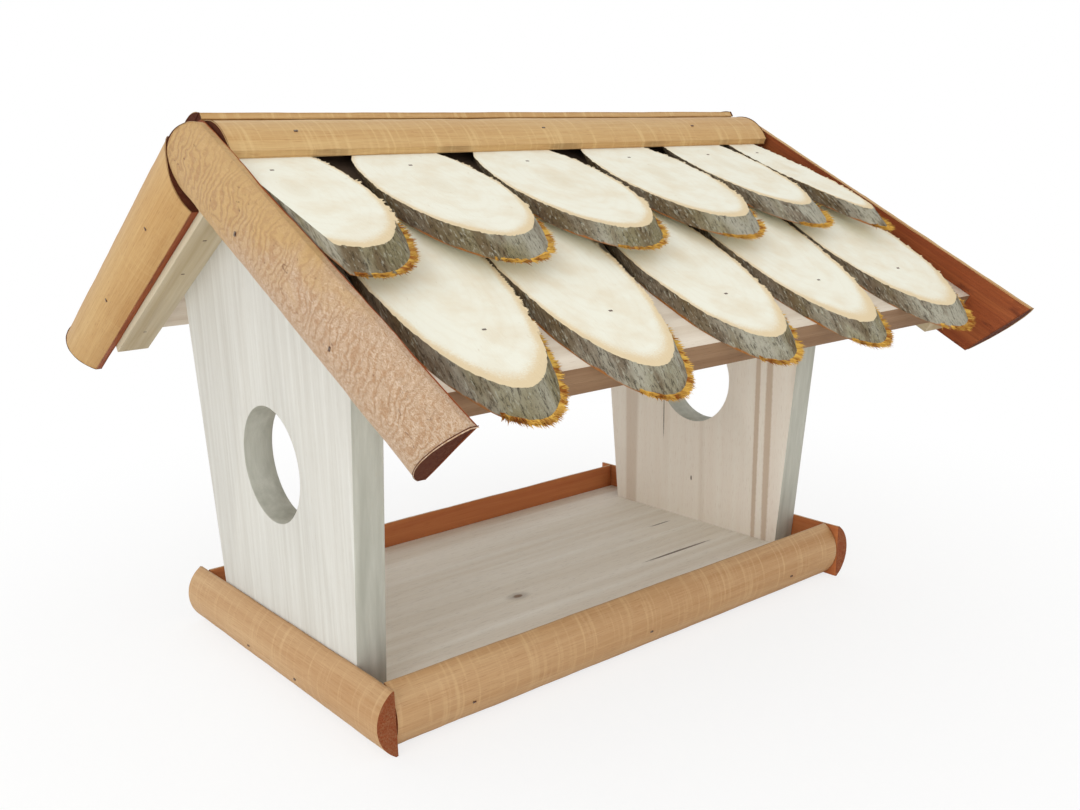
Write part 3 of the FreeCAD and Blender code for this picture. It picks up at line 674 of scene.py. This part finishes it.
def trayRails():
    x, y, reach = tray["halfLength"], tray["halfWidth"], tray["reach"]
    places = [
        ("front", 2 * x, (-x, -y, 0), (1, 0, 0)),
        ("rear", 2 * x, (x, y, 0), (-1, 0, 0)),
        ("left", 2 * reach, (-x, reach, 0), (0, -1, 0)),
        ("right", 2 * reach, (x, -reach, 0), (0, 1, 0)),
    ]
    for seed, (side, length, corner, along) in enumerate(places, tray["firstSeed"]):
        node = f"{side}_tray_rail"
        matrix = axesMatrix(corner, along, (0, 0, 1))
        obj = halfRound("Visual_" + node, trim["tray"], length, matrix, (railHoney, railRed, endTan), seed=seed)
        finishPiece(obj, node)


roof = dict(
    ridge=0.2741, pitch=math.radians(28.85), halfDeck=0.1975, deckThickness=0.0153,
    front=dict(turn=1, reach=0.1965, bargeDrop=0.0135, bargeOverhang=0.0346, footSlant=0.0186),
    rear=dict(turn=-1, reach=0.1855, bargeDrop=0.006, bargeOverhang=0.07, footSlant=0.023),
)


def slopeAxes(side):
    # down the slope and out of the roof
    c, s = math.cos(roof["pitch"]), math.sin(roof["pitch"])
    turn = roof[side]["turn"]
    return Vector((0, -c * turn, -s)), Vector((0, -s * turn, c))


def slopePoint(side, x, down, out):
    downAxis, outAxis = slopeAxes(side)
    return Vector((x, 0, roof["ridge"])) + downAxis * down + outAxis * out


bargeEnds = dict(past=0.013, above=0.035, noseRadius=0.015, noseSteps=14, curlyUnevenness=0.0014, firstSeed=31)


def noseCuts(endAxis, outAxis, onTop):
    # planes round the upper end's corner, between the upright cut and the top edge
    radius, steps = bargeEnds["noseRadius"], bargeEnds["noseSteps"]
    slope = endAxis - outAxis * endAxis.dot(outAxis)
    corner = onTop + slope * ((bargeEnds["past"] - onTop.y) / slope.y)
    centre = corner - (endAxis + outAxis) * (radius / (1 + endAxis.dot(outAxis)))
    normals = [endAxis.slerp(outAxis, step / steps) for step in range(1, steps)]
    return [(centre + normal * radius, normal) for normal in normals]


def barges():
    width = trim["barge"]["width"]
    for side in ("front", "rear"):
        values = roof[side]
        downAxis, outAxis = slopeAxes(side)
        reach, drop = values["reach"] + values["bargeOverhang"], values["bargeDrop"]
        top = -bargeEnds["above"]
        for end, sign in (("left", -1), ("right", 1)):
            face = roof["halfDeck"] * sign
            along = downAxis if downAxis.cross(outAxis).x * sign > 0 else -downAxis
            begin = top if along == downAxis else reach
            matrix = axesMatrix(slopePoint(side, face, begin, -drop), along, outAxis)
            # the foot is cut at a slant, the top end upright with a round nose
            tip = slopePoint(side, face, reach, width - drop)
            heel = slopePoint(side, face, reach - values["footSlant"], -drop)
            footNormal = (tip - heel).cross(Vector((1, 0, 0)))
            footNormal *= 1 if footNormal.dot(downAxis) > 0 else -1
            endAxis = Vector((0, values["turn"], 0))
            cuts = [(tip, footNormal), ((0, bargeEnds["past"], 0), endAxis)]
            cuts += noseCuts(endAxis, outAxis, slopePoint(side, face, 0, width - drop))
            curly = (side, end) == ("front", "left")
            node = f"{side}_{end}_barge"
            obj = halfRound(
                "Visual_" + node, trim["barge"], reach - top, matrix,
                (burr if curly else bargeHoney, red, endBrown), cuts,
                seed=bargeEnds["firstSeed"] + len(node) + sign,
                unevenness=bargeEnds["curlyUnevenness"] if curly else trim["unevenness"],
            )
            finishPiece(obj, node)


def upperFrame(side):
    # plane of the upper course's faces, tilted off the slope
    thickness, gap = sliceShape["thickness"], sliceShape["gap"]
    heel = sliceShape["upperTop"] + sliceShape["leastLean"]
    tilt = math.atan2(thickness + gap, sliceShape["lowerTop"] - heel)
    downAxis, outAxis = slopeAxes(side)
    down = downAxis * math.cos(tilt) + outAxis * math.sin(tilt)
    out = outAxis * math.cos(tilt) - downAxis * math.sin(tilt)
    origin = slopePoint(side, 0, heel, roof["deckThickness"] + gap) - down * heel + out * thickness
    return origin, down, out


ridge = dict(inset=0.0035, creep=0.003, frontReach=0.0205, rearReach=0.0225, frontSeed=51, rearSeed=52)


def ridgeRails():
    shape, gap = trim["ridge"], sliceShape["gap"]
    halfLength = roof["halfDeck"] - ridge["inset"]
    length = 2 * halfLength + ridge["creep"]
    looks = (honey, honey, endBrown)
    origin, down, out = upperFrame("front")
    foot = origin + down * ridge["frontReach"] + out * gap
    matrix = axesMatrix(foot + Vector((-halfLength - ridge["creep"], 0, 0)), (1, 0, 0), -down)
    obj = halfRound("Visual_front_ridge_rail", shape, length, matrix, looks, seed=ridge["frontSeed"])
    finishPiece(obj, "front_ridge_rail")
    # the rear rail leans on the front rail's top edge
    corner = foot - down * (shape["width"] + gap) + out * (shape["side"] + gap)
    origin, down, out = upperFrame("rear")
    foot = origin + down * ridge["rearReach"] + out * gap
    matrix = axesMatrix(foot + Vector((halfLength, 0, 0)), (-1, 0, 0), corner - foot)
    obj = halfRound("Visual_rear_ridge_rail", shape, length, matrix, looks, seed=ridge["rearSeed"])
    finishPiece(obj, "rear_ridge_rail")


# log slices

sliceShape = dict(
    thickness=0.007, sunk=0.00015, gap=0.00005, sideGap=0.0005, overhang=0.013, courseStep=0.084,
    leastLean=0.011, upperTop=0.0055, lowerTop=0.0705, longestTail=0.97,
    steps=240, barkRows=6, insets=(0.03, 0.12), smoothAngle=40,
    barkRoughness=0.0013, barkSize=0.003, outline=0.0018, outlineSize=0.02, rimSplinter=0.0004,
)
# fibres of inner bark along the bottom edge, thickest on the right of the tip, and a few
# splinters of the sawn face further up: angles from the tip, share of faces, length, material slot
fringe = dict(fromAngle=-24, toAngle=84, share=0.7, grow=0.0026, slot=2)
splinters = dict(fromAngle=62, toAngle=168, share=0.3, grow=0.0012, slot=0)
# gap before it, reach, half width, half length, lean of the bark and turn in degrees,
# laid from the left end of a slope as seen from in front of it
slices = dict(
    upper=[
        (-0.0215, -0.001, 0.036, 0.066, 0.015, 0), (0.0055, 0.0, 0.0365, 0.062, 0.0145, 1),
        (0.003, 0.003, 0.038, 0.064, 0.011, 2), (0.0045, 0.001, 0.036, 0.063, 0.0125, 2),
        (0.0035, -0.007, 0.03, 0.065, 0.017, 3), (0.0015, 0.006, 0.0165, 0.069, 0.015, 2),
    ],
    lower=[
        (0.0115, 0.0, 0.035, 0.086, 0.015, 4), (0.0025, 0.0025, 0.0355, 0.086, 0.0145, 4),
        (0.0095, -0.002, 0.0345, 0.072, 0.0125, 1), (0.0055, 0.0, 0.0355, 0.086, 0.0125, 2),
        (0.0025, -0.001, 0.037, 0.07, 0.014, 0),
    ],
)


def growHairs(hairs, bottom, top, halfWidth, halfLength, lean, rng, seed):
    # draws some bark faces of the slice in edit mode out to points

    def tufted(face):
        middle = face.calc_center_median()
        heading = math.degrees(math.atan2(middle.x / halfWidth, -(middle.y + lean) / halfLength))
        inside = hairs["fromAngle"] < heading < hairs["toAngle"] and bottom < middle.z < top
        return inside and face.material_index == 1 and rng.random() < hairs["share"]

    grow = hairs["grow"]
    pick("faces", tufted)
    bpy.ops.mesh.subdivide(number_cuts=2)
    bpy.ops.mesh.extrude_faces_move(TRANSFORM_OT_shrink_fatten={"value": grow * 0.3})
    bpy.ops.transform.resize(value=(1 + grow / halfWidth, 1 + grow / halfLength, 1), center_override=(0, -lean, 0))
    bpy.ops.mesh.select_mode(type="VERT")
    bpy.ops.mesh.merge(type="COLLAPSE")
    bpy.ops.transform.vertex_random(offset=grow * 0.75, seed=seed)
    paintFaces(lambda face: hairs["slot"] if any(v.select for v in face.verts) else None)


def logSlice(side, course, number, across, reach, halfWidth, halfLength, lean, turn):
    node = f"{side}_{course}_slice_{number}"
    seed = number * 7 + (3 if course == "upper" else 0) + (50 if side == "rear" else 0)
    rng = random.Random(seed)
    thickness = sliceShape["thickness"] - sliceShape["sunk"]
    bpy.ops.object.select_all(action="DESELECT")
    bpy.ops.mesh.primitive_cylinder_add(vertices=sliceShape["steps"], radius=1, depth=1, end_fill_type="NGON",
                                        location=(0, 0, -0.5))
    obj = bpy.context.object
    obj.name = "Visual_" + node
    setDown(obj, obj.matrix_world.copy())
    for material in (sliceFace, bark, barkFibre):
        obj.data.materials.append(material)
    editing(obj)
    # rows down the bark, and two rings inside the sawn face's edge
    pick("edges", lambda edge: abs(edge.verts[0].co.z - edge.verts[1].co.z) > 0.5)
    bpy.ops.mesh.subdivide(number_cuts=sliceShape["barkRows"])
    pick("faces", lambda face: abs(face.normal.z) > 0.9)
    for inset in sliceShape["insets"]:
        bpy.ops.mesh.inset(thickness=inset, use_individual=False)
    done()
    keepPlace(obj, "oval")
    editing(obj)
    pickAll()
    bpy.ops.transform.resize(value=(halfWidth, halfLength, thickness), center_override=(0, 0, 0))
    done()
    keepPlace(obj, "grain", randomShift(rng))
    editing(obj)
    # the branch ran at a slant, so the bark slopes out towards the tip
    rows = sliceShape["barkRows"] + 1
    for row in range(1, rows + 1):
        depth = -thickness * row / rows
        pick("verts", lambda v: abs(v.co.z - depth) < thickness / rows / 3)
        bpy.ops.transform.translate(value=(0, -lean * row / rows, 0))

    def chooseLook(face):
        heights = [v.co.z for v in face.verts]
        return 0 if min(heights) > -touching or max(heights) < -thickness + touching else 1

    paintFaces(chooseLook)
    growHairs(fringe, -thickness, -thickness * (rows - 1) / rows, halfWidth, halfLength, lean, rng, seed)
    growHairs(splinters, -thickness / rows, 0, halfWidth, halfLength, lean, rng, seed)
    # an uneven edge of the sawn face
    pick("verts", lambda v: abs(v.co.z) < touching and (v.co.x / halfWidth) ** 2 + (v.co.y / halfLength) ** 2 > 0.99)
    bpy.ops.transform.vertex_random(offset=sliceShape["rimSplinter"], seed=seed + 1)
    faceOut()
    done()
    barkVerts = obj.vertex_groups.new(name="bark")
    between = [v.index for v in obj.data.vertices if -thickness * 0.98 < v.co.z < -1e-4]
    barkVerts.add(between, 1.0, "REPLACE")
    wobble(obj, "barkRough", sliceShape["barkRoughness"], sliceShape["barkSize"], 4, "bark")
    wobble(obj, "outline", sliceShape["outline"], sliceShape["outlineSize"], direction="X")
    applyAll(obj)
    # laid in its course: tip down the slope, turned a little, its upper end and side trimmed
    tip = roof[side]["reach"] + sliceShape["overhang"] + reach
    if course == "upper":
        tip -= sliceShape["courseStep"]
    middle = -(tip - halfLength)
    turned = Matrix.Rotation(-math.radians(turn), 4, "Z")
    setDown(obj, Matrix.Translation((across, middle, -sliceShape["sunk"])) @ turned)
    editing(obj)
    tail = min(-middle - sliceShape[course + "Top"], halfLength * sliceShape["longestTail"])
    cutAway((0, middle + tail, 0), Vector((0, thickness, -lean)).normalized())
    if abs(across) + halfWidth > roof["halfDeck"]:
        edge = math.copysign(roof["halfDeck"] - sliceShape["sideGap"], across)
        cutAway((edge, 0, 0), (math.copysign(1, edge), 0, 0))
        paintFaces(lambda face: 1 if all(abs(v.co.x - edge) < close for v in face.verts) else None)
    done()
    if course == "upper":
        origin, down, out = upperFrame(side)
    else:
        bed = roof["deckThickness"] + sliceShape["gap"] + sliceShape["thickness"]
        origin, down = slopePoint(side, 0, 0, bed), slopeAxes(side)[0]
    setDown(obj, axesMatrix(origin, (roof[side]["turn"], 0, 0), -down))
    finishPiece(obj, node, sliceShape["smoothAngle"])


def laySlices():
    for side in ("front", "rear"):
        for course, rows in slices.items():
            edge = -roof["halfDeck"]
            for number, (gapBefore, reach, halfWidth, *others) in enumerate(rows, 1):
                across = edge + gapBefore + halfWidth
                edge = across + halfWidth
                logSlice(side, course, number, across, reach, halfWidth, *others)


# boards

boards = dict(
    edgeSoftness=0.0007, flatAngle=0.5, facing=0.7, shadeDown=0.085, deckFigure=0.4, battenFigure=(0.1, 0.5, 0.9),
)


def boardFrom(node, materials, along, across, paint=None, shift=(0, 0, 0)):
    # a closed copy of a flat board with soft edges; its grain runs along the first axis
    only(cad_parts[node])
    bpy.ops.object.duplicate()
    obj = bpy.context.object
    obj.name = "Visual_" + node
    obj.parent = None
    obj.data.materials.clear()
    for material in materials:
        obj.data.materials.append(material)
    editing(obj)
    pickAll()
    bpy.ops.mesh.remove_doubles(threshold=close)
    bpy.ops.mesh.dissolve_limited(angle_limit=math.radians(boards["flatAngle"]))
    done()
    softEdges(obj, boards["edgeSoftness"])
    applyAll(obj)
    along, across = Vector(along), Vector(across)
    keepPlace(obj, "grain", shift, Matrix((along, across, along.cross(across))))
    if paint:
        for face in obj.data.polygons:
            face.material_index = paint(face.normal)
    finishPiece(obj, node)


def makeBoards():
    ridgeAxis, upAxis, depthAxis = (1, 0, 0), (0, 0, 1), (0, 1, 0)
    facing = boards["facing"]
    boardFrom("floor_board", (floorWood, wallEdge), ridgeAxis, depthAxis,
              lambda normal: 1 if abs(normal.x) > facing else 0)
    for side, sign in (("left", -1), ("right", 1)):
        # the inner faces take the brightened inner wood, which is painted light
        boardFrom(f"{side}_gable_wall", (wallWood, wallInnerBrightened, wallEdge), upAxis, depthAxis,
                  lambda normal: 0 if normal.x * sign > facing else 1 if normal.x * sign < -facing else 2)
    for side in ("front", "rear"):
        downAxis = slopeAxes(side)[0]
        # the deck's figure counts from the line where its painted shade begins, down the slope from the ridge;
        # towards the ridge, under the upper course, the deck is painted dark as shade
        shadeLine = downAxis.dot(Vector((0, 0, roof["ridge"]))) + boards["shadeDown"]
        # its eave edge takes the painted shade
        boardFrom(f"{side}_roof_board", (deckWood, deckEdgeShade), ridgeAxis, downAxis,
                  lambda normal: 1 if normal.dot(downAxis) > facing else 0, (0, -shadeLine, boards["deckFigure"]))
        for end in ("left", "right"):
            boardFrom(f"{side}_{end}_batten", (battenWood,), downAxis, ridgeAxis,
                      shift=boards["battenFigure"])


def dressNails():
    # the heads show as small dull dashes in the wood
    material, tree, shader = newMaterial("nailSteel", 0.5, 0.4)
    place = put(tree, "ShaderNodeTexCoord").outputs["Object"]
    stainMask = span(tree, noise(tree, place, nailSteel["spots"], 2.0), 0.4, 0.6)
    link(tree, mixColour(tree, stainMask, nailSteel["steel"], stain["redDark"]), shader, "Base Color")
    shader.inputs["Metallic"].default_value = nailSteel["metallic"]
    bumpInto(tree, shader, stainMask, 0.2, 0.0002)
    for node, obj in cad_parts.items():
        if node.endswith("brads"):
            obj.data.materials.clear()
            obj.data.materials.append(material)


dressNails()
trayRails()
ridgeRails()
barges()
print("half-round trim ready")
laySlices()
print("log slices ready")
makeBoards()
print("boards ready")

# studio

studio = dict(
    cameraPlace=(-0.42148, -0.51307, 0.27653), right=(0.79789, -0.60166, -0.03720),
    up=(0.19763, 0.20279, 0.95907), lens=35.57, sensor=36, shift=(0.0641, 0.0694), nearest=0.02,
    ambient=0.88, floorColour=tone(252, 252, 251), floorRadius=6, fadeFrom=0.25, fadeTo=0.6, fadeLeast=0.75,
    aim=(0, 0, 0.15),
    lamps=[("keyLamp", (-1.7, -0.6, 0.8), 9.0, 1.4), ("fillLamp", (-0.7, -1.6, 0.3), 4.0, 1.2)],
)


def placeCamera():
    data = bpy.data.cameras.new("camera")
    data.sensor_width = studio["sensor"]
    data.lens = studio["lens"]
    data.shift_x, data.shift_y = studio["shift"]
    data.clip_start = studio["nearest"]
    camera = bpy.data.objects.new("camera", data)
    bpy.context.scene.collection.objects.link(camera)
    right, up = Vector(studio["right"]), Vector(studio["up"])
    turn = Matrix((right, up, right.cross(up))).transposed().to_4x4()
    camera.matrix_world = Matrix.Translation(studio["cameraPlace"]) @ turn
    bpy.context.scene.camera = camera


def makeSky():
    # the object is lit at the ambient level, and what the camera sees behind it is white
    world = bpy.context.scene.world or bpy.data.worlds.new("world")
    bpy.context.scene.world = world
    world.use_nodes = True
    tree = world.node_tree
    tree.nodes.clear()
    rays = put(tree, "ShaderNodeLightPath").outputs
    through = calc(tree, "MAXIMUM", rays["Is Glossy Ray"], rays["Is Transmission Ray"])
    seen = calc(tree, "MAXIMUM", rays["Is Camera Ray"], through)
    strength = span(tree, seen, 0, 1, studio["ambient"], 1.0)
    background = put(tree, "ShaderNodeBackground", {"Color": (1, 1, 1, 1), "Strength": strength})
    end = put(tree, "ShaderNodeOutputWorld")
    tree.links.new(background.outputs[0], end.inputs[0])


def makeFloor():
    # pale near the object, where it takes the shadow, and plain white further out
    bpy.ops.object.select_all(action="DESELECT")
    bpy.ops.mesh.primitive_circle_add(vertices=96, radius=studio["floorRadius"], fill_type="NGON")
    floor = bpy.context.object
    floor.name = "studio_floor"
    material, tree, shader = newMaterial("studioFloor", 0.9, 0.1)
    shader.inputs["Base Color"].default_value = studio["floorColour"]
    far = vectorCalc(tree, "LENGTH", put(tree, "ShaderNodeTexCoord").outputs["Object"])
    outside = span(tree, far, studio["fadeFrom"], studio["fadeTo"], studio["fadeLeast"], 1.0, smooth=True)
    fade = calc(tree, "MULTIPLY", outside, put(tree, "ShaderNodeLightPath").outputs["Is Camera Ray"])
    white = put(tree, "ShaderNodeEmission", {"Color": (1, 1, 1, 1), "Strength": 1.0})
    blend = put(tree, "ShaderNodeMixShader", {0: fade, 1: shader.outputs[0], 2: white.outputs[0]})
    tree.links.new(blend.outputs[0], tree.nodes["Material Output"].inputs["Surface"])
    floor.data.materials.append(material)


def hangLamps():
    for name, place, power, extent in studio["lamps"]:
        data = bpy.data.lights.new(name, "AREA")
        data.shape = "DISK"
        data.size = extent
        data.energy = power
        lamp = bpy.data.objects.new(name, data)
        bpy.context.scene.collection.objects.link(lamp)
        lamp.location = place
        lamp.rotation_euler = (Vector(studio["aim"]) - Vector(place)).to_track_quat("-Z", "Y").to_euler()


bpy.context.scene.view_settings.view_transform = "Standard"
placeCamera()
makeSky()
makeFloor()
hangLamps()
print("studio ready")
